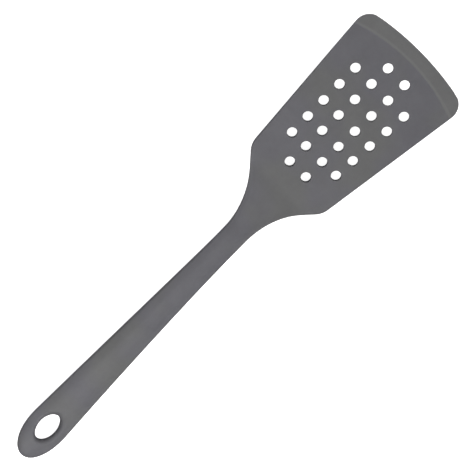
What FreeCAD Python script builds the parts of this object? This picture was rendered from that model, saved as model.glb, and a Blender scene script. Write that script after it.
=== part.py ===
import FreeCAD, Part
import math
import os

import Sketcher

# A silicone turner: a perforated blade, a bent neck and a long handle with a hanging hole.
# One silicone moulding covers a perforated steel plate with a tang, and two nylon half cores
# that are riveted round the tang.
#
# Everything is drawn in the blade's own frame: x runs from the bend at the heel (x = 0) to the
# front edge, y is to the left, and z = 0 is the flat top of the blade. The finished sub-parts are
# then laid down together as the turner lies on a table: on its heel and the end of its handle.

V = FreeCAD.Vector

SIZES = {
    # blade outline
    "blade_reach": 119.6,
    "front_radius": 190.0,
    "corner_radius": 10.0,
    "heel_half_width": 29.9,
    "side_angle": 6.4,
    "heel_radius": 13.0,
    "shoulder_angle": 42.5,
    "shoulder_reach": 9.0,
    "join_reach": 14.0,
    # blade thickness
    "heel_thickness": 3.8,
    "underside_angle": 1.2,
    "lip_radius": 127.0,
    "lip_depth": 9.3,
    "lip_drop": 0.75,
    # neck and handle
    "neck_half_width": 7.9,
    "neck_radius": 50.0,
    "neck_half_height": 4.7,
    "neck_angle": 19.4,
    "neck_start": 4.0,
    "neck_bend": 12.0,
    "neck_end": 44.0,
    "relax_bend": 20.0,
    "handle_angle_front": 7.6,
    "handle_angle_end": 13.3,
    "handle_reach": 216.6,
    "handle_half_width": 13.7,
    "handle_swell": 1.36,
    "handle_half_height": 5.8,
    "end_half_height": 5.0,
    "end_cap_reach": 25.0,
    # rounding of the section: share of its half width and of its half height
    "blade_roundness": 0.1,
    "handle_roundness": 0.85,
    "blade_side_rise": 0.25,
    "handle_side_rise": 0.95,
    "side_spread": 6.0,
    # openings
    "hole_radius": 3.15,
    "hole_pitch": 13.5,
    "hole_middle": 58.5,
    "inner_line": 7.1,
    "outer_line": 20.1,
    "inner_fan": 0.2,
    "outer_fan": 2.2,
    "hanger_reach": 194.3,
    "hanger_half_length": 9.4,
    "hanger_half_width": 5.95,
    # steel plate and tang
    "plate_thickness": 0.5,
    "plate_depth": 0.85,
    "plate_margin": 5.0,
    "plate_hole_margin": 0.9,
    "plate_front": 110.0,
    "plate_side_reach": 102.0,
    "plate_bend": 4.5,
    "tang_bend": 33.6,
    "tang_angle": 9.5,
    "tang_reach": 112.0,
    "tang_half_width": 4.5,
    "tang_bend_radius": 30.0,
    # nylon core
    "skin_thickness": 1.7,
    "core_start": 46.0,
    "core_end": 212.0,
    "eye_margin": 1.6,
    "pocket_count": 5,
    "pocket_start": 120.0,
    "pocket_pitch": 12.0,
    "pocket_length": 9.5,
    "pocket_half_width": 4.6,
    "pocket_depth": 1.8,
    # rivets
    "rivet_count": 3,
    "rivet_start": 60.0,
    "rivet_pitch": 20.0,
    "rivet_radius": 1.5,
    "rivet_head_radius": 2.7,
    "rivet_head_level": 1.3,
}

# working lengths that no part keeps
THROUGH = 60.0  # long enough to pass right through the turner
LIP_SWEEP = 80.0  # degrees that the lip's cut turns through, past both sides of the blade
LIP_RUN_ON = 1.5  # how far the lip's cut runs, in lip depths
TRIM_MARGIN = 5.0  # how far a trimming outline stands clear of what it trims
SECTION_PITCH = 11.0  # spacing of the handle's sections
FINE_SHARE = 0.22  # how much closer the sections are at the shoulders
FINE_FROM = 20.0
FINE_TO = 60.0
CAP_SECTIONS = 10
SECTION_GAP = 0.3
STATION_GAP = 1.0  # least room left before the end of a run of sections
END_FACE = 0.5  # where the last section stands, short of the very end
SEARCH_STEP = 0.25
SEARCH_REACH = 80.0
STEEPEST = 30.0
HALVINGS = 40

doc = FreeCAD.newDocument("turner")
sheet = doc.addObject("Spreadsheet::Sheet", "Sizes")
for row, (alias, value) in enumerate(SIZES.items(), start=1):
    cell = f"B{row}"
    sheet.set(f"A{row}", alias)
    sheet.set(cell, str(value))
    sheet.setAlias(cell, alias)
doc.recompute()


def size(alias):
    """One driving dimension, read back from the sheet."""
    return float(sheet.get(alias))


def tangent(alias):
    """The slope that a driving angle stands for."""
    return math.tan(math.radians(size(alias)))


# ---------------------------------------------------------------- small helpers

def add(kind, name, **values):
    """A document object whose properties are bound to the sheet where the value is text."""
    item = doc.addObject(kind, name)
    for key, value in values.items():
        if isinstance(value, str):
            item.setExpression(key, value)
        else:
            setattr(item, key, value)
    return item


def origin_plane(body, role):
    """A body's own origin plane."""
    return next(item for item in body.Origin.OriginFeatures if item.Role == role)


def body_sketch(body, name, role):
    """A sketch on one of the body's own origin planes."""
    sketch = body.newObject("Sketcher::SketchObject", name)
    sketch.AttachmentSupport = [(origin_plane(body, role), "")]
    sketch.MapMode = "FlatFace"
    return sketch


def worked_out(item, text):
    """The number that an expression on the sheet comes to."""
    return float(item.evalExpression(text))


def dimension(sketch, text, *terms):
    """A dimension of a sketch, bound to the sheet."""
    value = worked_out(sketch, text)
    if terms[0] == "Angle":
        value = math.radians(value)
        text = f"({text}) * 1 deg"
    index = sketch.addConstraint(Sketcher.Constraint(*terms, value))
    sketch.setExpression(f"Constraints[{index}]", text)


def polygon(sketch, points):
    """A closed outline of straight lines through points given as pairs of expressions."""
    first = sketch.GeometryCount
    count = len(points)
    places = [V(worked_out(sketch, across), worked_out(sketch, up), 0) for across, up in points]
    for i in range(count):
        sketch.addGeometry(Part.LineSegment(places[i], places[(i + 1) % count]))
    for i in range(count):
        sketch.addConstraint(Sketcher.Constraint("Coincident", first + i, 2, first + (i + 1) % count, 1))
    for i, (across, up) in enumerate(points):
        dimension(sketch, across, "DistanceX", -1, 1, first + i, 1)
        dimension(sketch, up, "DistanceY", -1, 1, first + i, 1)


# ---------------------------------------------------------------- the turner's lines

def side_half_width(x):
    """Half width between the straight sides of the blade."""
    return size("heel_half_width") + x * tangent("side_angle")


def shoulder_half_width(x):
    """Half width of the outline behind the blade: heel corner, shoulder, and neck."""
    corner_x = size("shoulder_reach")
    corner_y = side_half_width(corner_x)
    slope = tangent("shoulder_angle")
    turn = math.radians(size("shoulder_angle"))
    neck = size("neck_half_width")
    neck_corner_x = corner_x - (corner_y - neck) / slope
    heel_turn = math.radians(size("shoulder_angle") - size("side_angle"))
    heel_run = size("heel_radius") * math.tan(heel_turn / 2)
    neck_run = size("neck_radius") * math.tan(turn / 2)
    heel_front = corner_x + heel_run * math.cos(math.radians(size("side_angle")))
    heel_back = corner_x - heel_run * math.cos(turn)
    arc_front = neck_corner_x + neck_run * math.cos(turn)
    arc_back = neck_corner_x - neck_run
    if x >= heel_front:
        return side_half_width(x)
    if x >= heel_back:
        side = math.radians(size("side_angle"))
        centre_x = heel_front + size("heel_radius") * math.sin(side)
        centre_y = side_half_width(heel_front) - size("heel_radius") * math.cos(side)
        return centre_y + math.sqrt(size("heel_radius") ** 2 - (x - centre_x) ** 2)
    if x >= arc_front:
        return corner_y - (corner_x - x) * slope
    if x >= arc_back:
        radius = size("neck_radius")
        return neck + radius - math.sqrt(radius ** 2 - (x - arc_back) ** 2)
    return neck


def smooth_step(x, start, end):
    """0 at start, 1 at end, with level ends."""
    part = min(max((x - start) / (end - start), 0.0), 1.0)
    return part * part * (3 - 2 * part)


def half_width(x):
    """Half width of the whole outline behind the blade, to the end of the handle."""
    neck_x = -size("neck_end")
    if x > neck_x:
        return shoulder_half_width(x)
    swell = ((neck_x - x) / (size("handle_reach") - size("neck_end"))) ** size("handle_swell")
    width = size("neck_half_width") + swell * (size("handle_half_width") - size("neck_half_width"))
    past_cap = size("end_cap_reach") - size("handle_reach") - x
    if past_cap > 0:
        width *= math.sqrt(max(0.0, 1 - (past_cap / size("end_cap_reach")) ** 2))
    return width


def half_height(x):
    """Half height of the section: thin at the blade, fuller in the handle, round at the end."""
    blade = (size("heel_thickness") - size("join_reach") * tangent("underside_angle")) / 2
    neck_x = -size("neck_end")
    end_x = -size("handle_reach")
    full_x = (end_x + neck_x) / 2
    height = blade + (size("neck_half_height") - blade) * smooth_step(-x, -size("neck_start"), -neck_x)
    height += (size("handle_half_height") - size("neck_half_height")) * smooth_step(-x, -neck_x, -full_x)
    height += (size("end_half_height") - size("handle_half_height")) * smooth_step(-x, -full_x, -end_x)
    past_cap = end_x + size("end_half_height") - x
    if past_cap > 0:
        height *= math.sqrt(max(0.0, 1 - (past_cap / size("end_half_height")) ** 2))
    return height


def slope_rise(x, start, length, first, last):
    """Height gained behind x = start while the slope changes evenly over a length."""
    run = min(max(start - x, 0.0), length)
    return first * run + (last - first) * run * run / (2 * length)


def centre_height(x):
    """Height of the middle of the section: level in the blade, steep neck, gently bowed handle."""
    blade = -(size("heel_thickness") - size("join_reach") * tangent("underside_angle")) / 2
    steep = tangent("neck_angle")
    start = size("neck_start")
    relax = -size("neck_end") + size("relax_bend")
    straight = start - size("neck_bend") - relax
    bow = size("handle_reach") - size("neck_end")
    rise = slope_rise(x, start, size("neck_bend"), 0.0, steep)
    rise += slope_rise(x, start - size("neck_bend"), straight, steep, steep)
    rise += slope_rise(x, relax, size("relax_bend"), steep, tangent("handle_angle_front"))
    rise += slope_rise(x, -size("neck_end"), bow, tangent("handle_angle_front"),
                       tangent("handle_angle_end"))
    return blade + rise


def handle_slope(x):
    """Slope of the handle's middle line at a place behind the neck."""
    share = (-size("neck_end") - x) / (size("handle_reach") - size("neck_end"))
    front = tangent("handle_angle_front")
    return front + share * (tangent("handle_angle_end") - front)


def between(blade, handle, x):
    """A share that runs smoothly from its value at the blade to its value in the handle."""
    part = smooth_step(-x, -size("join_reach"), size("neck_end"))
    return size(blade) + (size(handle) - size(blade)) * part


def section(x, inset=0.0):
    """The crowned section at x: four quarter ellipses joined by short flats."""
    wide = half_width(x) - inset
    high = half_height(x) - inset
    roundness = between("blade_roundness", "handle_roundness", x)
    side = roundness * min(wide, size("side_spread") * high)
    rise = high * between("blade_side_rise", "handle_side_rise", x)
    middle = V(x, 0, centre_height(x))
    edges = []
    corners = [(1, 1), (-1, 1), (-1, -1), (1, -1)]
    for turn, (left, up) in enumerate(corners):
        centre = middle + V(0, left * (wide - side), up * (high - rise))
        major, minor = (side, rise) if side > rise else (rise, side)
        across = V(0, 1, 0) if side > rise else V(0, 0, 1)
        other = V(0, 0, 1) if side > rise else V(0, -1, 0)
        oval = Part.Ellipse(centre + across * major, centre + other * minor, centre)
        start_angle = math.radians(90 * turn)
        if side <= rise:
            start_angle -= math.radians(90)
        edges.append(Part.Arc(oval, start_angle, start_angle + math.pi / 2).toShape())
        nxt_left, nxt_up = corners[(turn + 1) % 4]
        last = edges[-1].Vertexes[-1].Point
        if turn % 2 == 0:
            goal = middle + V(0, nxt_left * (wide - side), up * high)
        else:
            goal = middle + V(0, left * wide, nxt_up * (high - rise))
        edges.append(Part.makeLine(last, goal))
    return Part.Wire(edges)


# ---------------------------------------------------------------- working solids

def make_blade_plan(plan):
    """The blade's outline in front of the join: straight sides, round corners, bowed front edge."""
    join = size("join_reach")
    wide = side_half_width(join)
    slope = math.radians(size("side_angle"))
    radius = size("front_radius")
    corner = size("corner_radius")
    front_centre = size("blade_reach") - radius
    # a corner arc's centre lies one corner radius inside both the side and the front arc
    inner = size("heel_half_width") - corner / math.cos(slope)
    square = 1 + math.tan(slope) ** 2
    linear = inner * math.tan(slope) - front_centre
    rest = front_centre ** 2 + inner ** 2 - (radius - corner) ** 2
    corner_x = (-linear + math.sqrt(linear ** 2 - square * rest)) / square
    corner_y = inner + corner_x * math.tan(slope)
    side_turn = math.pi / 2 + slope
    front_turn = math.atan2(corner_y, corner_x - front_centre)
    side_x = corner_x + corner * math.cos(side_turn)
    side_y = corner_y + corner * math.sin(side_turn)
    up = V(0, 0, 1)
    right_circle = Part.Circle(V(corner_x, -corner_y, 0), up, corner)
    front_circle = Part.Circle(V(front_centre, 0, 0), up, radius)
    left_circle = Part.Circle(V(corner_x, corner_y, 0), up, corner)
    plan.addGeometry(Part.LineSegment(V(join, wide, 0), V(join, -wide, 0)))
    plan.addGeometry(Part.LineSegment(V(join, -wide, 0), V(side_x, -side_y, 0)))
    plan.addGeometry(Part.ArcOfCircle(right_circle, -side_turn, -front_turn))
    plan.addGeometry(Part.ArcOfCircle(front_circle, -front_turn, front_turn))
    plan.addGeometry(Part.ArcOfCircle(left_circle, front_turn, side_turn))
    plan.addGeometry(Part.LineSegment(V(join, wide, 0), V(side_x, side_y, 0)))
    plan.addConstraint([
        Sketcher.Constraint("Coincident", 0, 2, 1, 1),
        Sketcher.Constraint("Coincident", 5, 1, 0, 1),
        Sketcher.Constraint("Tangent", 1, 2, 2, 1),
        Sketcher.Constraint("Tangent", 2, 2, 3, 1),
        Sketcher.Constraint("Tangent", 3, 2, 4, 1),
        Sketcher.Constraint("Tangent", 4, 2, 5, 2),
        Sketcher.Constraint("Symmetric", 0, 1, 0, 2, -1),
        Sketcher.Constraint("PointOnObject", 3, 3, -1),
        Sketcher.Constraint("Equal", 2, 4),
    ])
    dimension(plan, "Sizes.corner_radius", "Radius", 2)
    dimension(plan, "Sizes.front_radius", "Radius", 3)
    dimension(plan, "Sizes.join_reach", "DistanceX", -1, 1, 0, 1)
    dimension(plan, "Sizes.blade_reach - Sizes.front_radius", "DistanceX", -1, 1, 3, 3)
    dimension(plan, "Sizes.side_angle", "Angle", 5)
    dimension(plan, "Sizes.heel_half_width + Sizes.join_reach * tan(Sizes.side_angle * 1 deg)",
              "DistanceY", -1, 1, 0, 1)


def make_blade_blank():
    """The flat blade: its outline padded down, the underside wedge and the front bevel cut off."""
    body = doc.addObject("PartDesign::Body", "blade_blank")
    plan = body_sketch(body, "blade_plan", "XY_Plane")
    make_blade_plan(plan)
    pad = body.newObject("PartDesign::Pad", "blade_pad")
    pad.Profile = plan
    pad.Reversed = True
    pad.setExpression("Length", "Sizes.heel_thickness")

    underside = body_sketch(body, "underside_wedge", "XZ_Plane")
    beyond = f"Sizes.blade_reach + {TRIM_MARGIN}"
    polygon(underside, [
        ("0", "-Sizes.heel_thickness"),
        (beyond, f"({beyond}) * tan(Sizes.underside_angle * 1 deg) - Sizes.heel_thickness"),
        (beyond, "-Sizes.heel_thickness - 1"),
        ("0", "-Sizes.heel_thickness - 1"),
    ])
    wedge = body.newObject("PartDesign::Pocket", "underside_cut")
    wedge.Profile = underside
    wedge.Type = "ThroughAll"
    wedge.Midplane = True

    bevel = body_sketch(body, "lip_bevel", "XZ_Plane")
    lip = "Sizes.blade_reach - Sizes.lip_depth"
    past = f"{lip} + {LIP_RUN_ON} * Sizes.lip_depth"
    polygon(bevel, [
        (lip, "0"),
        (past, f"-{LIP_RUN_ON} * Sizes.lip_drop"),
        (past, "1"),
        (lip, "1"),
    ])
    axis = V(worked_out(bevel, f"{lip} - Sizes.lip_radius"), 0, 0)
    line = bevel.addGeometry(Part.LineSegment(axis, axis + V(0, 10, 0)), True)
    dimension(bevel, f"{lip} - Sizes.lip_radius", "DistanceX", -1, 1, line, 1)
    bevel.addConstraint(Sketcher.Constraint("Vertical", line))
    groove = body.newObject("PartDesign::Groove", "lip_groove")
    groove.Profile = bevel
    groove.ReferenceAxis = (bevel, ["Axis0"])
    groove.Angle = LIP_SWEEP
    groove.Midplane = True
    return body


def make_pins(name, radius):
    """Upright pins that cut the 24 drain holes: seven rows, the first and last of two holes."""
    sketch = doc.addObject("Sketcher::SketchObject", f"{name}_plan")
    for row in range(-3, 4):
        lines = ["inner"] if abs(row) == 3 else ["inner", "outer"]
        for line in lines:
            for side in (1, -1):
                across = f"Sizes.hole_middle + {row} * Sizes.hole_pitch"
                out = f"Sizes.{line}_line + {row} * Sizes.hole_pitch * tan(Sizes.{line}_fan * 1 deg)"
                out = f"{side} * ({out})"
                centre = V(worked_out(sketch, across), worked_out(sketch, out), 0)
                circle = sketch.addGeometry(Part.Circle(centre, V(0, 0, 1), worked_out(sketch, radius)))
                dimension(sketch, across, "DistanceX", -1, 1, circle, 3)
                dimension(sketch, out, "DistanceY", -1, 1, circle, 3)
                dimension(sketch, radius, "Radius", circle)
    return drawn_out(name, sketch)


def drawn_out(name, outline):
    """An outline drawn out both ways, square to its own plane."""
    solid = doc.addObject("Part::Extrusion", name)
    solid.Base = outline
    solid.DirMode = "Normal"
    solid.LengthFwd = THROUGH
    solid.LengthRev = THROUGH
    solid.Solid = True
    return solid


def make_oval(name, margin):
    """An oval pin through the hanging hole, square to the handle and wider by a margin."""
    oval = add("Part::Ellipse", f"{name}_outline",
               MajorRadius=f"Sizes.hanger_half_length + {margin}",
               MinorRadius=f"Sizes.hanger_half_width + {margin}")
    reach = -size("hanger_reach")
    slope = math.degrees(math.atan(handle_slope(reach)))
    oval.Placement = FreeCAD.Placement(V(reach, 0, centre_height(reach)), FreeCAD.Rotation(V(0, 1, 0), slope))
    return drawn_out(name, oval)


def cut(name, base, *tools):
    """One solid with others cut out of it."""
    tool = tools[0]
    if len(tools) > 1:
        tool = fuse(f"{name}_tools", *tools)
    return add("Part::Cut", name, Base=base, Tool=tool)


def fuse(name, *parts):
    """Several solids as one shape."""
    return add("Part::MultiFuse", name, Shapes=list(parts))


# ---------------------------------------------------------------- steel plate

def plate_bends():
    """The four points of the plate's middle line: front, heel bend, neck bend, end of the tang."""
    depth = -size("plate_depth")
    neck_rise = (size("tang_bend") - size("plate_bend")) * tangent("neck_angle")
    tang_rise = (size("tang_reach") - size("tang_bend")) * tangent("tang_angle")
    return [
        V(size("plate_front"), depth, 0),
        V(-size("plate_bend"), depth, 0),
        V(-size("tang_bend"), depth + neck_rise, 0),
        V(-size("tang_reach"), depth + neck_rise + tang_rise, 0),
    ]


def bent_line(sketch, offset):
    """Lines and tangent arcs beside the plate's middle line; returns the number of the first line."""
    points = plate_bends()
    ways = [(points[i + 1] - points[i]).normalize() for i in range(3)]
    sides = [V(way.y, -way.x, 0) for way in ways]
    first = sketch.GeometryCount
    start = points[0] + sides[0] * offset
    for i, toward in enumerate((1, -1)):
        turn = ways[i].getAngle(ways[i + 1])
        radius = size("tang_bend_radius") - toward * offset
        run = size("tang_bend_radius") * math.tan(turn / 2)
        begin = points[i + 1] - ways[i] * run + sides[i] * offset
        finish = points[i + 1] + ways[i + 1] * run + sides[i + 1] * offset
        centre = begin + sides[i] * (toward * radius)
        middle_way = ((begin - centre) + (finish - centre)).normalize()
        sketch.addGeometry(Part.LineSegment(start, begin))
        sketch.addGeometry(Part.Arc(begin, centre + middle_way * radius, finish))
        start = finish
    sketch.addGeometry(Part.LineSegment(start, points[3] + sides[2] * offset))
    for i, toward in enumerate((1, -1)):
        # a sketch keeps every arc anticlockwise, so a bend upwards is stored from its far end
        near, far = (2, 1) if toward > 0 else (1, 2)
        line = first + 2 * i
        sketch.addConstraint(Sketcher.Constraint("Tangent", line, 2, line + 1, near))
        sketch.addConstraint(Sketcher.Constraint("Tangent", line + 1, far, line + 2, 1))
    return first


def make_plate_profile(profile):
    """The bent plate's edge-on outline: one line below, one above, and two square ends."""
    half = "Sizes.plate_thickness / 2"
    low = bent_line(profile, -size("plate_thickness") / 2)
    high = bent_line(profile, size("plate_thickness") / 2)
    ends = [(low, high, 1), (low + 4, high + 4, 2)]
    for below, above, place in ends:
        foot = profile.getPoint(below, place)
        top = profile.getPoint(above, place)
        cap = profile.addGeometry(Part.LineSegment(foot, top))
        profile.addConstraint(Sketcher.Constraint("Coincident", cap, 1, below, place))
        profile.addConstraint(Sketcher.Constraint("Coincident", cap, 2, above, place))
        profile.addConstraint(Sketcher.Constraint("Perpendicular", cap, below))
    for bend in (1, 3):
        profile.addConstraint(Sketcher.Constraint("Coincident", low + bend, 3, high + bend, 3))
    profile.addConstraint(Sketcher.Constraint("Horizontal", low))
    radius = "Sizes.tang_bend_radius"
    neck = "Sizes.neck_angle * 1 deg"
    tang = "Sizes.tang_angle * 1 deg"
    dimension(profile, f"{radius} + {half}", "Radius", low + 1)
    dimension(profile, f"{radius} - {half}", "Radius", high + 1)
    dimension(profile, f"{radius} - {half}", "Radius", low + 3)
    dimension(profile, "Sizes.plate_front", "DistanceX", -1, 1, low, 1)
    dimension(profile, f"-Sizes.plate_depth - {half}", "DistanceY", -1, 1, low, 1)
    dimension(profile, f"{radius} * tan({neck} / 2) - Sizes.plate_bend", "DistanceX", -1, 1, low + 1, 3)
    past_bend = f"{radius} * (tan(({neck} - {tang}) / 2) * cos({neck}) - sin({neck}))"
    dimension(profile, f"{past_bend} - Sizes.tang_bend", "DistanceX", -1, 1, low + 3, 3)
    dimension(profile, "180 - Sizes.neck_angle", "Angle", low + 2)
    dimension(profile, "180 - Sizes.tang_angle", "Angle", low + 4)
    dimension(profile, f"-Sizes.tang_reach - {half} * sin({tang})", "DistanceX", -1, 1, low + 4, 2)


def bow_front_line(sketch, line):
    """Put an arc of the lip's radius where the outline's front line was."""
    left = sketch.getPoint(line, 1)
    right = sketch.getPoint(line, 2)
    radius = size("lip_radius")
    centre = V(right.x - math.sqrt(radius ** 2 - right.y ** 2), 0, 0)
    turn = math.asin(left.y / radius)
    arc = sketch.addGeometry(Part.ArcOfCircle(Part.Circle(centre, V(0, 0, 1), radius), -turn, turn))
    sketch.toggleConstruction(line)
    sketch.addConstraint(Sketcher.Constraint("Coincident", arc, 1, line, 2))
    sketch.addConstraint(Sketcher.Constraint("Coincident", arc, 2, line, 1))
    dimension(sketch, "Sizes.lip_radius", "Radius", arc)


def make_plate_blank():
    """The steel plate before its holes: a bent strip, trimmed to the blade's outline and a tang."""
    body = doc.addObject("PartDesign::Body", "plate_blank")
    profile = body_sketch(body, "plate_profile", "XZ_Plane")
    make_plate_profile(profile)
    strip = body.newObject("PartDesign::Pad", "plate_strip")
    strip.Profile = profile
    strip.Midplane = True
    strip.Length = 2 * THROUGH

    trim = body_sketch(body, "plate_trim", "XY_Plane")
    inside = "Sizes.heel_half_width - Sizes.plate_margin"
    side = f"{inside} + Sizes.plate_side_reach * tan(Sizes.side_angle * 1 deg)"
    heel = f"{inside} + Sizes.shoulder_reach * tan(Sizes.side_angle * 1 deg)"
    narrowing = f"({heel} - Sizes.tang_half_width) / tan(Sizes.shoulder_angle * 1 deg)"
    tang_corner = f"Sizes.shoulder_reach - {narrowing}"
    past = f"-Sizes.tang_reach - {TRIM_MARGIN}"
    right = [
        ("Sizes.plate_side_reach", f"-({side})"),
        ("Sizes.shoulder_reach", f"-({heel})"),
        (tang_corner, "-Sizes.tang_half_width"),
        (past, "-Sizes.tang_half_width"),
    ]
    left = [(across, f"-({out})") for across, out in reversed(right)]
    polygon(trim, right + left)
    front = f"Sizes.plate_front + {TRIM_MARGIN}"
    back = f"{past} - {TRIM_MARGIN}"
    left_side = f"{THROUGH}"
    right_side = f"-{THROUGH}"
    polygon(trim, [(front, right_side), (front, left_side), (back, left_side), (back, right_side)])
    bow_front_line(trim, len(right + left) - 1)
    trimmed = body.newObject("PartDesign::Pocket", "plate_trimmed")
    trimmed.Profile = trim
    trimmed.Type = "ThroughAll"
    trimmed.Midplane = True
    doc.recompute()
    corners = [
        f"Edge{number}" for number, edge in enumerate(trimmed.Shape.Edges, start=1)
        if abs(edge.BoundBox.XMin - size("plate_side_reach")) < 0.01 and edge.BoundBox.XLength < 0.01
    ]
    rounding = body.newObject("PartDesign::Fillet", "plate_corners")
    rounding.Base = (trimmed, corners)
    rounding.setExpression("Radius", "Sizes.corner_radius - Sizes.plate_margin")
    return body


# ---------------------------------------------------------------- nylon core and rivets

def stations(start, end):
    """Section places from start back to end, closer together where the outline bends."""
    places = []
    x = start
    while x > end + STATION_GAP:
        places.append(x)
        x -= SECTION_PITCH * (FINE_SHARE + (1 - FINE_SHARE) * smooth_step(-x, FINE_FROM, FINE_TO))
    return places


def cap_stations(last):
    """Section places round the end of the handle, at even turns of its oval, back to the last."""
    cap_x = size("end_cap_reach") - size("handle_reach")
    turns = [math.pi / 2 * step / CAP_SECTIONS for step in range(CAP_SECTIONS)]
    places = [cap_x - size("end_cap_reach") * math.sin(turn) for turn in turns]
    return [x for x in places if x > last + SECTION_GAP] + [last]


def make_loft(name, start, last, inset):
    """A smooth solid through the crowned sections, from one place back to another."""
    cap_x = size("end_cap_reach") - size("handle_reach")
    places = stations(start, cap_x) + cap_stations(last)
    item = doc.addObject("Part::Feature", name)
    item.Shape = Part.makeLoft([section(x, inset) for x in places], True, False)
    item.Placement = FreeCAD.Placement()
    return item


def tang_placement(reach, across, up):
    """A place in the tang's tilted frame: so far along it, across it and above its middle."""
    bend = plate_bends()[2]
    tilt = FreeCAD.Rotation(V(0, 1, 0), size("tang_angle"))
    frame = FreeCAD.Placement(V(bend.x, 0, bend.y), tilt)
    along = (reach - size("tang_bend")) / math.cos(math.radians(size("tang_angle")))
    return frame * FreeCAD.Placement(V(-along, across, up), FreeCAD.Rotation())


def make_half_space(name, up):
    """A block on one side of the plane where the two core halves meet."""
    block = add("Part::Box", name, Length="Sizes.handle_reach", Width=2 * THROUGH, Height=THROUGH)
    reach = size("handle_reach") + size("tang_bend")
    block.Placement = tang_placement(reach, -THROUGH, 0 if up else -THROUGH)
    return block


def make_pockets():
    """Blocks that hollow both core halves between their ribs."""
    blocks = []
    for number in range(round(size("pocket_count"))):
        block = add("Part::Box", f"core_pocket_{number + 1}", Length="Sizes.pocket_length",
                    Width="2 * Sizes.pocket_half_width", Height="2 * Sizes.pocket_depth")
        reach = size("pocket_start") + number * size("pocket_pitch") + size("pocket_length")
        block.Placement = tang_placement(reach, -size("pocket_half_width"), -size("pocket_depth"))
        blocks.append(block)
    return fuse("core_pockets", *blocks)


def make_rivets():
    """Three rivets: a shank through both halves and the tang, and a wide head at each end."""
    shapes = []
    for number in range(round(size("rivet_count"))):
        reach = size("rivet_start") + number * size("rivet_pitch")
        shank = add("Part::Cylinder", f"shank_{number + 1}", Radius="Sizes.rivet_radius", Height=2 * THROUGH)
        shank.Placement = tang_placement(reach, 0, -THROUGH)
        shapes.append(shank)
        level = size("rivet_head_level")
        for side, low in (("upper", level), ("lower", -level - THROUGH)):
            head = add("Part::Cylinder", f"{side}_head_{number + 1}", Radius="Sizes.rivet_head_radius",
                       Height=THROUGH)
            head.Placement = tang_placement(reach, 0, low)
            shapes.append(head)
    return fuse("rivet_shapes", *shapes)


# ---------------------------------------------------------------- the turner

def build():
    """Make every sub-part in the blade's frame; returns them by the names of their nodes."""
    blade = make_blade_blank()
    handle = make_loft("handle_blank", size("join_reach"), END_FACE - size("handle_reach"), 0.0)
    outer = fuse("outer_shape", blade, handle)
    drain_pins = make_pins("drain_pins", "Sizes.hole_radius")
    hanger_pin = make_oval("hanger_pin", "0")
    moulding = cut("moulding_outside", outer, drain_pins, hanger_pin)

    plate_pins = make_pins("plate_pins", "Sizes.hole_radius + Sizes.plate_hole_margin")
    plate = cut("plate_work", make_plate_blank(), plate_pins)
    solid_core = make_loft("core_blank", -size("core_start"), -size("core_end"), size("skin_thickness"))
    core = cut("core_work", solid_core, make_oval("eye_pin", "Sizes.eye_margin"))
    rivets = make_rivets()
    pockets = make_pockets()
    inside_upper = add("Part::Common", "upper_blank", Base=core, Tool=make_half_space("upper_side", True))
    inside_lower = add("Part::Common", "lower_blank", Base=core, Tool=make_half_space("lower_side", False))

    parts = {
        "silicone_skin": cut("skin", moulding, plate, core),
        "blade_core_plate": cut("plate", plate, rivets),
        "handle_core_upper": cut("upper", inside_upper, plate, rivets, pockets),
        "handle_core_lower": cut("lower", inside_lower, plate, rivets, pockets),
        "tang_rivets": add("Part::Common", "rivets", Base=core, Tool=rivets),
    }
    doc.recompute()
    return parts


def lowest(angle, places):
    """Height of the lowest point of the underside over some places, once tipped by an angle."""
    return min(x * math.sin(angle) + (centre_height(x) - half_height(x)) * math.cos(angle) for x in places)


def rest_angle():
    """The tilt, in degrees, at which the heel and the end of the handle are equally low."""
    steps = round(SEARCH_REACH / SEARCH_STEP)
    heel = [SEARCH_STEP * step - size("neck_end") for step in range(steps)]
    grip = [SEARCH_STEP * step - size("handle_reach") for step in range(steps)]
    level, steep = 0.0, math.radians(STEEPEST)
    for _ in range(HALVINGS):
        middle = (level + steep) / 2
        if lowest(middle, grip) > lowest(middle, heel):
            level = middle
        else:
            steep = middle
    return math.degrees(level)


def lay_down(parts):
    """Tip the turner on to its heel and the end of its handle, and centre it over the origin."""
    tilt = FreeCAD.Placement(V(0, 0, 0), FreeCAD.Rotation(V(0, 1, 0), -rest_angle()))
    outside = parts["silicone_skin"].Shape.copy()
    outside.Placement = tilt
    box = outside.optimalBoundingBox(True, False)
    centre = V((box.XMin + box.XMax) / 2, (box.YMin + box.YMax) / 2, box.ZMin)
    for label, item in parts.items():
        item.Label = label
        item.Placement = FreeCAD.Placement(-centre, FreeCAD.Rotation()) * tilt
    doc.recompute()
    print(f"tilt {rest_angle():.4f} degrees, moved by {-centre.x:.4f}, {-centre.y:.4f}, {-centre.z:.4f} mm")


def check(parts):
    """Stop if any object failed or any sub-part isn't a sound solid."""
    for item in doc.Objects:
        if "Invalid" in item.State or "Error" in item.State:
            raise RuntimeError(f"{item.Name} failed: {item.State}")
    for label, item in parts.items():
        shape = item.Shape
        if shape.isNull() or not shape.isValid() or not shape.Solids:
            raise RuntimeError(f"{label} isn't a sound solid")


def export(parts):
    """Write each sub-part to its own STEP file."""
    os.makedirs("parts", exist_ok=True)
    for label, item in parts.items():
        item.Shape.exportStep(f"parts/{label}.step")
        box = item.Shape.optimalBoundingBox(True, False)
        print(f"{label}: {len(item.Shape.Solids)} solids, {item.Shape.Volume:.0f} mm3, "
              f"x {box.XMin:.2f} to {box.XMax:.2f}, y {box.YMin:.2f} to {box.YMax:.2f}, "
              f"z {box.ZMin:.2f} to {box.ZMax:.2f}")


sub_parts = build()
lay_down(sub_parts)
check(sub_parts)
export(sub_parts)
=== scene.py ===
import math

import bmesh
import bpy
from mathutils import Matrix, Vector


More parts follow.
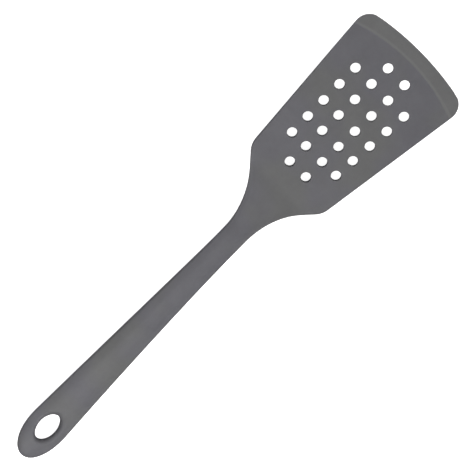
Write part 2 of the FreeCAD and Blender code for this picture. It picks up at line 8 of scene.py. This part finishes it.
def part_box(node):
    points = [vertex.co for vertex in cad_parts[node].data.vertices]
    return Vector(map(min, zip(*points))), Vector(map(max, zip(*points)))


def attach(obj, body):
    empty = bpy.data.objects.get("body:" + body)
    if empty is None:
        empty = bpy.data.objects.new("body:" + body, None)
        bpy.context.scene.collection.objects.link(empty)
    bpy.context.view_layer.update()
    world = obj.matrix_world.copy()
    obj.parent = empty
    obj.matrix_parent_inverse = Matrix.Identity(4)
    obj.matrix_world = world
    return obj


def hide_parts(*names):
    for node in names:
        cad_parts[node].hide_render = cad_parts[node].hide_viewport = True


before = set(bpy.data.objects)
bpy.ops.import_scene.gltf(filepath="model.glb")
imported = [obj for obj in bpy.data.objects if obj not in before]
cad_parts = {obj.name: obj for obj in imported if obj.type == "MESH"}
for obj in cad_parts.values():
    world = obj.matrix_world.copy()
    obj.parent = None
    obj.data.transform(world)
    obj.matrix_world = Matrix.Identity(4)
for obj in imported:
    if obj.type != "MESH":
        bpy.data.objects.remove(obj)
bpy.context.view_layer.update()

# A silicone turner lying on its heel and the end of its handle. The moulding is drawn in the
# blade's own frame, as the design is: x runs from the bend at the heel to the front edge, y is
# to the left, and z = 0 is the flat top of the blade. It is then laid down in the frame.

MM = 0.001

# blade outline
BLADE_REACH = 119.6 * MM
FRONT_RADIUS = 190.0 * MM
CORNER_RADIUS = 10.0 * MM
HEEL_HALF_WIDTH = 29.9 * MM
SIDE_ANGLE = math.radians(6.4)
HEEL_RADIUS = 13.0 * MM
SHOULDER_ANGLE = math.radians(42.5)
SHOULDER_REACH = 9.0 * MM
JOIN_REACH = 14.0 * MM

# blade thickness
HEEL_THICKNESS = 3.8 * MM
UNDERSIDE_SLOPE = math.tan(math.radians(1.2))
LIP_RADIUS = 127.0 * MM
LIP_DEPTH = 9.3 * MM
LIP_DROP = 0.75 * MM
LIP_RIDGE = 0.12 * MM
LIP_RIDGE_RUN = 0.70 * MM

# neck and handle
NECK_HALF_WIDTH = 7.9 * MM
NECK_RADIUS = 50.0 * MM
NECK_HALF_HEIGHT = 4.7 * MM
NECK_SLOPE = math.tan(math.radians(19.4))
NECK_START = 4.0 * MM
NECK_BEND = 12.0 * MM
NECK_END = 44.0 * MM
RELAX_BEND = 20.0 * MM
HANDLE_SLOPE_FRONT = math.tan(math.radians(7.6))
HANDLE_SLOPE_END = math.tan(math.radians(13.3))
HANDLE_REACH = 216.4 * MM        # 0.2 mm less than the design's, which stops at a small flat face
HANDLE_HALF_WIDTH = 13.7 * MM
HANDLE_SWELL = 1.36
HANDLE_HALF_HEIGHT = 5.8 * MM
END_HALF_HEIGHT = 5.0 * MM
END_CAP_REACH = 25.0 * MM

# roundness of the section's sides: in the blade, and what is added on the way to the handle
BLADE_SIDE_SHARE = 0.1
ADDED_SIDE_SHARE = 0.75
SIDE_SPREAD = 6.0
BLADE_RISE_SHARE = 0.25
ADDED_RISE_SHARE = 0.7

# openings
HOLE_RADIUS = 3.15 * MM
HOLE_PITCH = 13.5 * MM
HOLE_MIDDLE = 58.5 * MM
INNER_LINE = 7.1 * MM
OUTER_LINE = 20.1 * MM
INNER_FAN = math.tan(math.radians(0.2))
OUTER_FAN = math.tan(math.radians(2.2))
LAST_ROW = 3
HOLE_RIM = 0.35 * MM
HANGER_REACH = 194.3 * MM
HANGER_HALF_LENGTH = 9.4 * MM
HANGER_HALF_WIDTH = 5.95 * MM
HANGER_RIM = 3.6 * MM

# how the turner lies
REST_TILT = math.radians(9.7434)

# the moulding's mesh
SIDE_STEPS = 8
FLAT_STEPS = 16
END_CAP_PLACES = (0.0, 0.02, 0.08, 0.18, 0.32, 0.5, 0.72, 1.0)
HANDLE_STEPS = 76
NECK_STEPS = 44
BLADE_STEPS = 30
STRAIGHT_REACH = 90 * MM
BOWING_STEPS = 8
RIDGE_PLACES = (0.25, 0.5, 0.75, 1.0)
LIP_PLACES = (0.12, 0.2, 0.32, 0.44, 0.56, 0.66, 0.75, 0.82, 0.88, 0.925, 0.955)
NOSE_RUN = 0.3 * MM
NOSE_STEPS = 4
OUTLINE_HALVINGS = 40
OUTLINE_LIMIT = HEEL_HALF_WIDTH * 1.4
LEAST_HEIGHT = 1e-9
HOLE_SEGMENTS = 40
HANGER_SEGMENTS = 72
RIM_STEPS = 5
RIM_OVERRUN = 0.6
WELD = 0.004 * MM

# finishes and studio
LIP_FADE = 1.2 * MM
# how far in front of the lip's line the painted highlight along the lip's ridge reaches
RIDGE_HIGHLIGHT_REACH = 2.8 * MM
MIX_FIRST = 6        # the Mix node's colour sockets, whose names its other kinds share
MIX_SECOND = 7
MIX_RESULT = 2
TABLE_WHITE = 0.92
TABLE_GLOW = 0.95
ROOM_GLOW = 0.05
FLOOR_HALF_SIZE = 3.0
UNDERLAY_DEPTH = 0.2 * MM
NEAR_LAMP_SIZE = 0.35
FAR_LAMP_SIZE = 0.8
CAMERA_PLACE = (0.04887, 0.34411, 1.3449)
CAMERA_TURN = (-11.241, -9.339, -44.889)
CAMERA_FIELD = 11.75
CAMERA_NEAR = 0.05


# ---------------------------------------------------------------- the turner's lines

def smooth_step(x, start, end):
    """0 at start, 1 at end, with level ends."""
    part = min(max((x - start) / (end - start), 0.0), 1.0)
    return part * part * (3 - 2 * part)


def side_half_width(x):
    """Half width between the straight sides of the blade."""
    return HEEL_HALF_WIDTH + x * math.tan(SIDE_ANGLE)


def shoulder_half_width(x):
    """Half width of the outline behind the blade: heel corner, shoulder, and neck."""
    corner_y = side_half_width(SHOULDER_REACH)
    slope = math.tan(SHOULDER_ANGLE)
    neck_corner = SHOULDER_REACH - (corner_y - NECK_HALF_WIDTH) / slope
    heel_run = HEEL_RADIUS * math.tan((SHOULDER_ANGLE - SIDE_ANGLE) / 2)
    neck_run = NECK_RADIUS * math.tan(SHOULDER_ANGLE / 2)
    heel_front = SHOULDER_REACH + heel_run * math.cos(SIDE_ANGLE)
    heel_back = SHOULDER_REACH - heel_run * math.cos(SHOULDER_ANGLE)
    arc_front = neck_corner + neck_run * math.cos(SHOULDER_ANGLE)
    arc_back = neck_corner - neck_run
    if x >= heel_front:
        return side_half_width(x)
    if x >= heel_back:
        centre_x = heel_front + HEEL_RADIUS * math.sin(SIDE_ANGLE)
        centre_y = side_half_width(heel_front) - HEEL_RADIUS * math.cos(SIDE_ANGLE)
        return centre_y + math.sqrt(HEEL_RADIUS ** 2 - (x - centre_x) ** 2)
    if x >= arc_front:
        return corner_y - (SHOULDER_REACH - x) * slope
    if x >= arc_back:
        return NECK_HALF_WIDTH + NECK_RADIUS - math.sqrt(NECK_RADIUS ** 2 - (x - arc_back) ** 2)
    return NECK_HALF_WIDTH


def front_corner():
    """The centre of the round front corner, which touches the side and the bowed front edge."""
    front_centre = BLADE_REACH - FRONT_RADIUS
    inner = HEEL_HALF_WIDTH - CORNER_RADIUS / math.cos(SIDE_ANGLE)
    slope = math.tan(SIDE_ANGLE)
    square = 1 + slope ** 2
    linear = inner * slope - front_centre
    rest = front_centre ** 2 + inner ** 2 - (FRONT_RADIUS - CORNER_RADIUS) ** 2
    corner_x = (-linear + math.sqrt(linear ** 2 - square * rest)) / square
    return corner_x, inner + corner_x * slope


CORNER_X, CORNER_Y = front_corner()


def half_width(x):
    """Half width of the whole outline, from the end of the handle to the front corners."""
    if x > CORNER_X - CORNER_RADIUS * math.sin(SIDE_ANGLE):
        past = min(abs(x - CORNER_X), CORNER_RADIUS)
        return CORNER_Y + math.sqrt(CORNER_RADIUS ** 2 - past ** 2)
    if x > -NECK_END:
        return shoulder_half_width(x)
    swell = ((-NECK_END - x) / (HANDLE_REACH - NECK_END)) ** HANDLE_SWELL
    width = NECK_HALF_WIDTH + swell * (HANDLE_HALF_WIDTH - NECK_HALF_WIDTH)
    past_cap = END_CAP_REACH - HANDLE_REACH - x
    if past_cap > 0:
        width *= math.sqrt(max(0.0, 1 - (past_cap / END_CAP_REACH) ** 2))
    return width


def underside(x):
    """Level of the blade's underside, which rises towards the front edge."""
    return -HEEL_THICKNESS + max(x, JOIN_REACH) * UNDERSIDE_SLOPE


def half_height(x):
    """Half height of the section: thin at the blade, fuller in the handle, round at the end."""
    blade = -underside(x) / 2
    full = (HANDLE_REACH + NECK_END) / 2
    height = blade + (NECK_HALF_HEIGHT - blade) * smooth_step(-x, -NECK_START, NECK_END)
    height += (HANDLE_HALF_HEIGHT - NECK_HALF_HEIGHT) * smooth_step(-x, NECK_END, full)
    height += (END_HALF_HEIGHT - HANDLE_HALF_HEIGHT) * smooth_step(-x, full, HANDLE_REACH)
    past_cap = END_HALF_HEIGHT - HANDLE_REACH - x
    if past_cap > 0:
        height *= math.sqrt(max(0.0, 1 - (past_cap / END_HALF_HEIGHT) ** 2))
    return height


def slope_rise(x, start, length, first, last):
    """Height gained behind x = start while the slope changes evenly over a length."""
    run = min(max(start - x, 0.0), length)
    return first * run + (last - first) * run * run / (2 * length)


def centre_height(x):
    """Height of the middle of the section: level in the blade, steep neck, gently bowed handle."""
    relax = RELAX_BEND - NECK_END
    steep_start = NECK_START - NECK_BEND
    rise = slope_rise(x, NECK_START, NECK_BEND, 0.0, NECK_SLOPE)
    rise += slope_rise(x, steep_start, steep_start - relax, NECK_SLOPE, NECK_SLOPE)
    rise += slope_rise(x, relax, RELAX_BEND, NECK_SLOPE, HANDLE_SLOPE_FRONT)
    rise += slope_rise(x, -NECK_END, HANDLE_REACH - NECK_END, HANDLE_SLOPE_FRONT, HANDLE_SLOPE_END)
    return underside(x) / 2 + rise


def lip_fall(x, y):
    """How far the top falls in front of the arc where the bevelled lip begins."""
    past = math.hypot(x - BLADE_REACH + LIP_DEPTH + LIP_RADIUS, y) - LIP_RADIUS
    if past <= 0:
        return 0.0
    ridge = LIP_RIDGE * smooth_step(past, 0.0, LIP_RIDGE_RUN)
    return (LIP_DROP + LIP_RIDGE) * past / LIP_DEPTH - ridge


def shape_share(x):
    """0 in the flat blade, 1 in the crowned handle."""
    return smooth_step(-x, -JOIN_REACH, NECK_END)


def side_and_rise(x, wide, high):
    """Width and height of the quarter ellipses at the section's sides."""
    side_share = BLADE_SIDE_SHARE + ADDED_SIDE_SHARE * shape_share(x)
    side = min(side_share * wide, SIDE_SPREAD * high * side_share)
    return side, high * (BLADE_RISE_SHARE + ADDED_RISE_SHARE * shape_share(x))


def face_level(x, y, up):
    """Level of the moulding's top (up = 1) or underside (up = -1) over a point of its plan."""
    if x > JOIN_REACH:
        return -lip_fall(x, y) if up > 0 else underside(x)
    wide = half_width(x)
    high = half_height(x)
    side, rise = side_and_rise(x, wide, high)
    past = min(max(abs(y) - (wide - side), 0.0) / side, 1.0)
    return centre_height(x) + up * (high - rise + rise * math.sqrt(1 - past ** 2))


# ---------------------------------------------------------------- the silicone moulding

def section_plan():
    """One turn round the section: which corner a point belongs to and its place on the ellipse."""
    points = []
    for across, up in [(1, 1), (-1, 1), (-1, -1), (1, -1)]:
        from_side = across == up
        for step in range(SIDE_STEPS + 1):
            turn = math.pi / 2 * step / SIDE_STEPS
            out, over = math.cos(turn), math.sin(turn)
            if not from_side:
                out, over = over, out
            points.append((across, up, across * out, up * over))
        if from_side:
            for step in range(1, FLAT_STEPS):
                points.append((across * (1 - 2 * step / FLAT_STEPS), up, 0.0, up))
    return points


SECTION = section_plan()


def spread(start, end, count):
    """Evenly spaced places after start, up to end."""
    return [start + (end - start) * step / count for step in range(1, count + 1)]


def straight_places():
    """Places of the straight sections, from the end of the handle to the middle of the blade."""
    places = [-HANDLE_REACH + share * END_HALF_HEIGHT for share in END_CAP_PLACES]
    places += spread(-HANDLE_REACH + END_HALF_HEIGHT, -NECK_END, HANDLE_STEPS)
    places += spread(-NECK_END, JOIN_REACH, NECK_STEPS)
    places += spread(JOIN_REACH, STRAIGHT_REACH, BLADE_STEPS)
    return places


def lip_line(y):
    """Where the bevelled lip begins."""
    return BLADE_REACH - LIP_DEPTH - LIP_RADIUS + math.sqrt(LIP_RADIUS ** 2 - y ** 2)


def front_line(y):
    """The bowed front edge."""
    return BLADE_REACH - FRONT_RADIUS + math.sqrt(FRONT_RADIUS ** 2 - y ** 2)


def between(first, second, share):
    """A line of the plan part of the way from one to the other."""
    return lambda y: first(y) + (second(y) - first(y)) * share


def plan_lines():
    """Lines across the moulding, from the end of the handle to the front edge, with edge heights."""
    lines = [(lambda y, x=x: x, 1.0) for x in straight_places()]
    last = lines[-1][0]
    bowing = [step / BOWING_STEPS for step in range(1, BOWING_STEPS + 1)]
    lines += [(between(last, lip_line, share), 1.0) for share in bowing]
    shares = [LIP_RIDGE_RUN / LIP_DEPTH * place for place in RIDGE_PLACES]
    shares += LIP_PLACES
    lines += [(between(lip_line, front_line, share), 1.0) for share in shares]
    nose = NOSE_RUN / LIP_DEPTH
    for step in range(1, NOSE_STEPS + 1):
        turn = math.pi / 2 * step / NOSE_STEPS
        share = 1 - nose + nose * math.sin(turn)
        lines.append((between(lip_line, front_line, share), math.cos(turn)))
    return lines


def reach_of(line):
    """Half width of a line across the plan, where it meets the outline."""
    wide = half_width(line(0.0))
    for _ in range(OUTLINE_HALVINGS):
        wide = 0.5 * (wide + half_width(line(min(wide, OUTLINE_LIMIT))))
    return wide


def section_points(line, edge):
    """The section's points over one line of the plan."""
    middle = line(0.0)
    wide = reach_of(line)
    high = half_height(middle)
    side, rise = side_and_rise(middle, wide, high)
    share = rise / max(high, LEAST_HEIGHT)
    for corner, up, out, over in SECTION:
        y = corner * (wide - side) + out * side
        x = line(y)
        level = up * (1 - share) + over * share
        if middle > JOIN_REACH:
            top, low = -lip_fall(x, y), underside(x)
            yield Vector((x, y, (top + low) / 2 + edge * level * (top - low) / 2))
        else:
            yield Vector((x, y, centre_height(x) + level * high))


def place_ring(ring, line):
    """Moves a ring's vertices to the section over a line of the plan."""
    for vertex, point in zip(ring, section_points(*line)):
        vertex.co = point


def draw_out(bm, ring):
    """Draws a closed ring of edges out, and gives the new ring, vertex for vertex."""
    edges = [bm.edges.get(pair) for pair in zip(ring, ring[1:] + ring[:1])]
    drawn = bmesh.ops.extrude_edge_only(bm, edges=edges)
    fresh = set(item for item in drawn["geom"] if isinstance(item, bmesh.types.BMVert))
    return [next(e.other_vert(v) for e in v.link_edges if e.other_vert(v) in fresh) for v in ring]


def make_moulding():
    """The solid moulding, drawn out section by section from a ring at the end of the handle."""
    bm = bmesh.new()
    ring = bmesh.ops.create_circle(bm, segments=len(SECTION), radius=HANDLE_HALF_WIDTH)["verts"]
    lines = plan_lines()
    place_ring(ring, lines[0])
    for line in lines[1:]:
        ring = draw_out(bm, ring)
        place_ring(ring, line)
    bmesh.ops.remove_doubles(bm, verts=bm.verts, dist=WELD)
    bmesh.ops.recalc_face_normals(bm, faces=bm.faces)
    return bm


# ---------------------------------------------------------------- openings

def drain_hole_places():
    """Centres of the drain holes: four fanned columns, the outer ones a row shorter at each end."""
    places = []
    for row in range(-LAST_ROW, LAST_ROW + 1):
        along = HOLE_PITCH * row
        columns = [INNER_LINE + along * INNER_FAN]
        if abs(row) < LAST_ROW:
            columns.append(OUTER_LINE + along * OUTER_FAN)
        places += [(HOLE_MIDDLE + along, sign * across) for across in columns for sign in (-1, 1)]
    return places


def handle_slope(x):
    """Slope of the handle's middle line at a place behind the neck."""
    share = (-NECK_END - x) / (HANDLE_REACH - NECK_END)
    return HANDLE_SLOPE_FRONT + share * (HANDLE_SLOPE_END - HANDLE_SLOPE_FRONT)


def make_cutter(bm, centre, radii, rim, segments, lean=0.0):
    """A cutter whose ends flare into the rounded rims of one opening, leaning with the handle."""
    level = centre_height(centre[0])
    turns = [math.pi / 2 * step / RIM_STEPS for step in range(1, RIM_STEPS + 1)]
    flare = [(rim * (1 - math.sin(turn)), rim * (1 - math.cos(turn))) for turn in turns]
    start = (flare[0][0] + RIM_OVERRUN * rim, flare[0][1] - RIM_OVERRUN * rim)
    flare.insert(0, start)
    profile = [(1, *place) for place in flare] + [(-1, *place) for place in reversed(flare)]
    ring = bmesh.ops.create_circle(bm, segments=segments, radius=1.0, cap_ends=True)["verts"]
    units = [vertex.co.copy() for vertex in ring]
    for number, (up, out, deep) in enumerate(profile):
        if number:
            ring = draw_out(bm, ring)
        for vertex, unit in zip(ring, units):
            x = centre[0] + unit.x * (radii[0] + out)
            y = centre[1] + unit.y * (radii[1] + out)
            z = face_level(x, y, up) - up * deep
            vertex.co = (x + lean * (z - level), y, z)
    bmesh.ops.contextual_create(bm, geom=ring)


def make_cutters():
    """All the openings' cutters: the drain holes and the hanging hole."""
    bm = bmesh.new()
    for place in drain_hole_places():
        make_cutter(bm, place, (HOLE_RADIUS, HOLE_RADIUS), HOLE_RIM, HOLE_SEGMENTS)
    hanger = (HANGER_HALF_LENGTH, HANGER_HALF_WIDTH)
    lean = handle_slope(-HANGER_REACH)
    make_cutter(bm, (-HANGER_REACH, 0.0), hanger, HANGER_RIM, HANGER_SEGMENTS, lean)
    bmesh.ops.recalc_face_normals(bm, faces=bm.faces)
    return bm


def mesh_object(name, bm):
    """An object at the origin that holds the mesh."""
    mesh = bpy.data.meshes.new(name)
    bm.to_mesh(mesh)
    bm.free()
    item = bpy.data.objects.new(name, mesh)
    bpy.context.scene.collection.objects.link(item)
    return item


def apply_modifiers(item):
    """Makes the object's modifiers part of its mesh."""
    graph = bpy.context.evaluated_depsgraph_get()
    mesh = bpy.data.meshes.new_from_object(item.evaluated_get(graph))
    item.modifiers.clear()
    item.data = mesh


def cut_openings(moulding):
    """Cuts the drain holes and the hanging hole, with their rounded rims."""
    cutters = mesh_object("cutters", make_cutters())
    cut = moulding.modifiers.new("openings", "BOOLEAN")
    cut.operation = "DIFFERENCE"
    cut.solver = "EXACT"
    cut.object = cutters
    apply_modifiers(moulding)
    bpy.data.objects.remove(cutters)
    weld(moulding)


def weld(item):
    """Merges the points that the cuts leave a hair apart, and the slivers between them."""
    bm = bmesh.new()
    bm.from_mesh(item.data)
    bmesh.ops.remove_doubles(bm, verts=bm.verts, dist=WELD)
    bmesh.ops.dissolve_degenerate(bm, edges=bm.edges, dist=WELD)
    bm.to_mesh(item.data)
    bm.free()


def lay_down(item):
    """Tilts the piece from the blade's frame, sets it where the design's lies, gives the shift."""
    item.data.transform(Matrix.Rotation(-REST_TILT, 4, "Y"))
    low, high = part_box("silicone_skin")
    xs = [vertex.co.x for vertex in item.data.vertices]
    zs = [vertex.co.z for vertex in item.data.vertices]
    shift = Vector(((low.x + high.x - min(xs) - max(xs)) / 2, 0, low.z - min(zs)))
    item.data.transform(Matrix.Translation(shift))
    return shift


def make_turner():
    """The silicone moulding as one piece, and how far it was shifted when it was laid down."""
    moulding = mesh_object("silicone_moulding", make_moulding())
    cut_openings(moulding)
    shift = lay_down(moulding)
    moulding.data.shade_smooth()
    even = moulding.modifiers.new("even_shading", "WEIGHTED_NORMAL")
    even.keep_sharp = True
    return moulding, shift


# ---------------------------------------------------------------- finishes

class Amount:
    """A number that varies over a surface: arithmetic on it adds Math nodes."""

    def __init__(self, finish, socket):
        self.finish = finish
        self.socket = socket

    def combine(self, operation, first, second):
        node = self.finish.node("ShaderNodeMath", {"operation": operation}, {0: first, 1: second})
        return Amount(self.finish, node.outputs[0])

    def __add__(self, other):
        return self.combine("ADD", self, other)

    def __sub__(self, other):
        return self.combine("SUBTRACT", self, other)

    def __mul__(self, other):
        return self.combine("MULTIPLY", self, other)

    __radd__ = __add__
    __rmul__ = __mul__

    def __rsub__(self, other):
        return self.combine("SUBTRACT", other, self)


class Finish:
    """A material made of nodes round one surface shader."""

    def __init__(self, name, **constants):
        self.material = bpy.data.materials.new(name)
        self.material.use_nodes = True
        self.tree = self.material.node_tree
        self.tree.nodes.clear()
        self.surface = self.node("ShaderNodeBsdfPrincipled", inputs=constants)
        self.node("ShaderNodeOutputMaterial", inputs={"Surface": self.surface.outputs[0]})
        self.place = self.node("ShaderNodeTexCoord").outputs["Object"]

    def node(self, kind, settings=None, inputs=None):
        """Adds a node: its settings first, then the values or links of its sockets."""
        node = self.tree.nodes.new(kind)
        for key, value in (settings or {}).items():
            setattr(node, key, value)
        for key, value in (inputs or {}).items():
            self.feed(node.inputs[key], value)
        return node

    def feed(self, socket, value):
        """Gives a socket a link or a plain value."""
        if isinstance(value, Amount):
            value = value.socket
        if isinstance(value, bpy.types.NodeSocket):
            self.tree.links.new(value, socket)
        else:
            socket.default_value = value

    def noise(self, scale, detail=2.0, roughness=0.5, place=None):
        """Soft noise about one half."""
        inputs = {"Vector": place or self.place, "Scale": scale}
        inputs |= {"Detail": detail, "Roughness": roughness}
        return Amount(self, self.node("ShaderNodeTexNoise", inputs=inputs).outputs[0])

    def stretched(self, scale):
        """Object coordinates drawn out along an axis."""
        return self.node("ShaderNodeMapping", inputs={"Vector": self.place, "Scale": scale}).outputs[0]

    def blend(self, share, first, second):
        """A colour between two others."""
        settings = {"data_type": "RGBA"}
        inputs = {"Factor": share, MIX_FIRST: first, MIX_SECOND: second}
        return self.node("ShaderNodeMix", settings, inputs).outputs[MIX_RESULT]

    def bump(self, height, distance):
        """Relief of a given depth in metres."""
        inputs = {"Height": height, "Distance": distance, "Strength": 1.0}
        return self.node("ShaderNodeBump", inputs=inputs).outputs[0]

    def set(self, **values):
        """Feeds the surface shader, with words joined by _ for a socket's name."""
        for key, value in values.items():
            self.feed(self.surface.inputs[key.replace("_", " ")], value)
        return self.material


def lip_mask(finish, shift, start, end):
    """0 behind a line that follows the bevelled lip, 1 in front of it, rising from start to end.

    The distance is taken in plan from the centre of the lip's arc, and only in front of it.
    """
    shrink = 1 / math.cos(REST_TILT)
    centre_x = shift.x + (BLADE_REACH - LIP_DEPTH - LIP_RADIUS) * math.cos(REST_TILT)
    spot = {"Vector": finish.place, "Location": (-centre_x * shrink, 0, 0), "Scale": (shrink, 1, 0)}
    flat = finish.node("ShaderNodeMapping", inputs=spot).outputs[0]
    floor = (0, -1, -1)
    ahead = finish.node("ShaderNodeVectorMath", {"operation": "MAXIMUM"}, {0: flat, 1: floor}).outputs[0]
    reach = finish.node("ShaderNodeVectorMath", {"operation": "LENGTH"}, {0: ahead}).outputs["Value"]
    span = {"Value": reach, "From Min": LIP_RADIUS + start, "From Max": LIP_RADIUS + end}
    ramp = finish.node("ShaderNodeMapRange", {"interpolation_type": "SMOOTHSTEP"}, span)
    return Amount(finish, ramp.outputs[0])


def make_silicone(shift):
    """Matte grey silicone: cloudy tone, fine moulded grain and a dry, slightly powdery surface. The
    bevelled lip is painted lighter, as painted light through its thin edge, with a warmer tint, and a
    painted highlight runs along the lip's ridge line.
    """
    finish = Finish("matte_grey_silicone")
    drift = finish.noise(28.0, 2.0)
    cloud = finish.noise(75.0, 3.0)
    mottle = finish.noise(320.0, 4.0, 0.6)
    grain = finish.noise(1900.0, 3.0, 0.65)
    lip = lip_mask(finish, shift, 0.0, LIP_FADE)
    # painted highlight: a lighter band just in front of the lip's line, along its small ridge, where
    # light catches the edge
    ridge_highlight = lip - lip_mask(finish, shift, LIP_FADE, RIDGE_HIGHLIGHT_REACH)
    # the lip's share of the tone paints it lighter: painted light standing in for light through the thin
    # bevelled edge; its share of the warmth below is a warmer tint of the colour
    tone = 0.45 * cloud + 0.3 * mottle + 0.25 * grain + 0.23 * lip + 0.32 * ridge_highlight
    cool = finish.blend(tone, (0.075, 0.0738, 0.084, 1), (0.140, 0.1382, 0.152, 1))
    warm = finish.blend(tone, (0.078, 0.078, 0.0792, 1), (0.143, 0.143, 0.143, 1))
    span = {"Value": drift + 0.35 * lip, "From Min": 0.45, "From Max": 0.65}
    warmth = finish.node("ShaderNodeMapRange", inputs=span)
    colour = finish.blend(warmth.outputs[0], cool, warm)
    rough = 0.50 + 0.10 * mottle + 0.08 * grain
    relief = grain + 0.8 * mottle
    return finish.set(Base_Color=colour, Roughness=rough, Normal=finish.bump(relief, 0.06 * MM))


def make_spring_steel():
    """Brushed spring steel, with the brushing along the blade."""
    finish = Finish("brushed_spring_steel")
    brushing = finish.noise(900.0, 3.0, 0.6, finish.stretched((0.03, 1.0, 1.0)))
    cloud = finish.noise(60.0)
    colour = finish.blend(0.6 * brushing + 0.4 * cloud, (0.42, 0.42, 0.41, 1), (0.62, 0.62, 0.60, 1))
    relief = finish.bump(brushing, 0.01 * MM)
    return finish.set(Base_Color=colour, Metallic=1.0, Roughness=0.26 + 0.2 * brushing, Normal=relief)


def make_nylon():
    """Glass-filled nylon: dark, with pale flow marks and a dull moulded grain."""
    finish = Finish("glass_filled_nylon")
    flow = finish.noise(240.0, 4.0, 0.6, finish.stretched((0.2, 1.0, 1.0)))
    grain = finish.noise(1500.0, 2.0)
    colour = finish.blend(0.7 * flow + 0.3 * grain, (0.016, 0.016, 0.017, 1), (0.06, 0.06, 0.062, 1))
    relief = finish.bump(grain + 0.5 * flow, 0.04 * MM)
    return finish.set(Base_Color=colour, Roughness=0.42 + 0.2 * grain, Normal=relief)


def make_rivet_metal():
    """Bright aluminium rivet wire with a slightly dented, set head."""
    finish = Finish("rivet_aluminium")
    dents = finish.noise(700.0, 2.0)
    scuffs = finish.noise(1800.0, 4.0, 0.7)
    colour = finish.blend(scuffs, (0.62, 0.62, 0.63, 1), (0.84, 0.84, 0.85, 1))
    relief = finish.bump(dents, 0.03 * MM)
    return finish.set(Base_Color=colour, Metallic=1.0, Roughness=0.25 + 0.25 * scuffs, Normal=relief)


def make_white(name, darkest, glow):
    """Plain white of the studio's table, faintly mottled, which may glow."""
    light = {"Emission Color": (1.0, 1.0, 1.0, 1.0), "Emission Strength": glow}
    finish = Finish(name, **light)
    mottle = finish.noise(6.0)
    dark = (darkest, darkest, darkest, 1)
    colour = finish.blend(mottle, dark, (TABLE_WHITE, TABLE_WHITE, TABLE_WHITE, 1))
    return finish.set(Base_Color=colour, Roughness=0.9)


def finish_with(item, material):
    """Gives every material slot of a piece one finish."""
    if not item.material_slots:
        item.data.materials.append(material)
    for slot in item.material_slots:
        slot.material = material


# ---------------------------------------------------------------- floor, light and camera

def make_flat(name, level, material):
    """A wide level sheet of the studio's table."""
    bm = bmesh.new()
    bmesh.ops.create_grid(bm, x_segments=1, y_segments=1, size=FLOOR_HALF_SIZE)
    bmesh.ops.translate(bm, verts=bm.verts, vec=(0, 0, level))
    sheet = mesh_object(name, bm)
    finish_with(sheet, material)
    return sheet


def make_floor():
    """A light table, whose glow is seen but lights nothing, and a white sheet that bounces light."""
    floor = make_flat("floor", 0.0, make_white("white_table", 0.90, TABLE_GLOW))
    floor.visible_diffuse = False
    floor.visible_glossy = False
    underlay = make_flat("underlay", -UNDERLAY_DEPTH, make_white("white_underlay", 0.88, 0.0))
    underlay.visible_camera = False


def make_softbox(name, place, power, target=(0, 0, 0), size=FAR_LAMP_SIZE):
    """A square soft light that looks at a point and doesn't show in the picture."""
    lamp = bpy.data.lights.new(name, "AREA")
    lamp.size = size
    lamp.energy = power
    item = bpy.data.objects.new(name, lamp)
    item.location = place
    item.rotation_euler = (Vector(target) - Vector(place)).to_track_quat("-Z", "Y").to_euler()
    item.visible_camera = False
    bpy.context.scene.collection.objects.link(item)


def make_light():
    """A dim white room, a close soft light over the handle's end and four far ones round the turner."""
    world = bpy.data.worlds.new("studio")
    world.use_nodes = True
    backdrop = world.node_tree.nodes["Background"]
    backdrop.inputs["Color"].default_value = (1.0, 1.0, 1.0, 1.0)
    backdrop.inputs["Strength"].default_value = ROOM_GLOW
    bpy.context.scene.world = world
    near_end = {"target": (-0.12, 0, 0), "size": NEAR_LAMP_SIZE}
    make_softbox("handle_end_softbox", (-0.32, -0.06, 0.55), 2.4, **near_end)
    make_softbox("front_softbox", (1.13, 0, 1.13), 12.3)
    make_softbox("left_low_softbox", (0, 1.55, 0.42), 9.0)
    make_softbox("right_low_softbox", (0, -1.55, 0.42), 7.5)
    make_softbox("back_low_softbox", (-1.5, 0, 0.35), 5.5)


def make_camera():
    """A long lens, nearly overhead, with the handle running to the lower left."""
    lens = bpy.data.cameras.new("camera")
    lens.sensor_fit = "HORIZONTAL"
    lens.angle = math.radians(CAMERA_FIELD)
    lens.clip_start = CAMERA_NEAR
    camera = bpy.data.objects.new("camera", lens)
    camera.location = CAMERA_PLACE
    camera.rotation_euler = [math.radians(turn) for turn in CAMERA_TURN]
    bpy.context.scene.collection.objects.link(camera)
    bpy.context.scene.camera = camera


turner, laid_shift = make_turner()
finish_with(turner, make_silicone(laid_shift))
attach(turner, "root")
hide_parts("silicone_skin")

finish_with(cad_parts["blade_core_plate"], make_spring_steel())
nylon = make_nylon()
finish_with(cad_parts["handle_core_upper"], nylon)
finish_with(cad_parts["handle_core_lower"], nylon)
finish_with(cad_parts["tang_rivets"], make_rivet_metal())

make_floor()
make_light()
make_camera()
bpy.context.scene.view_settings.view_transform = "Standard"
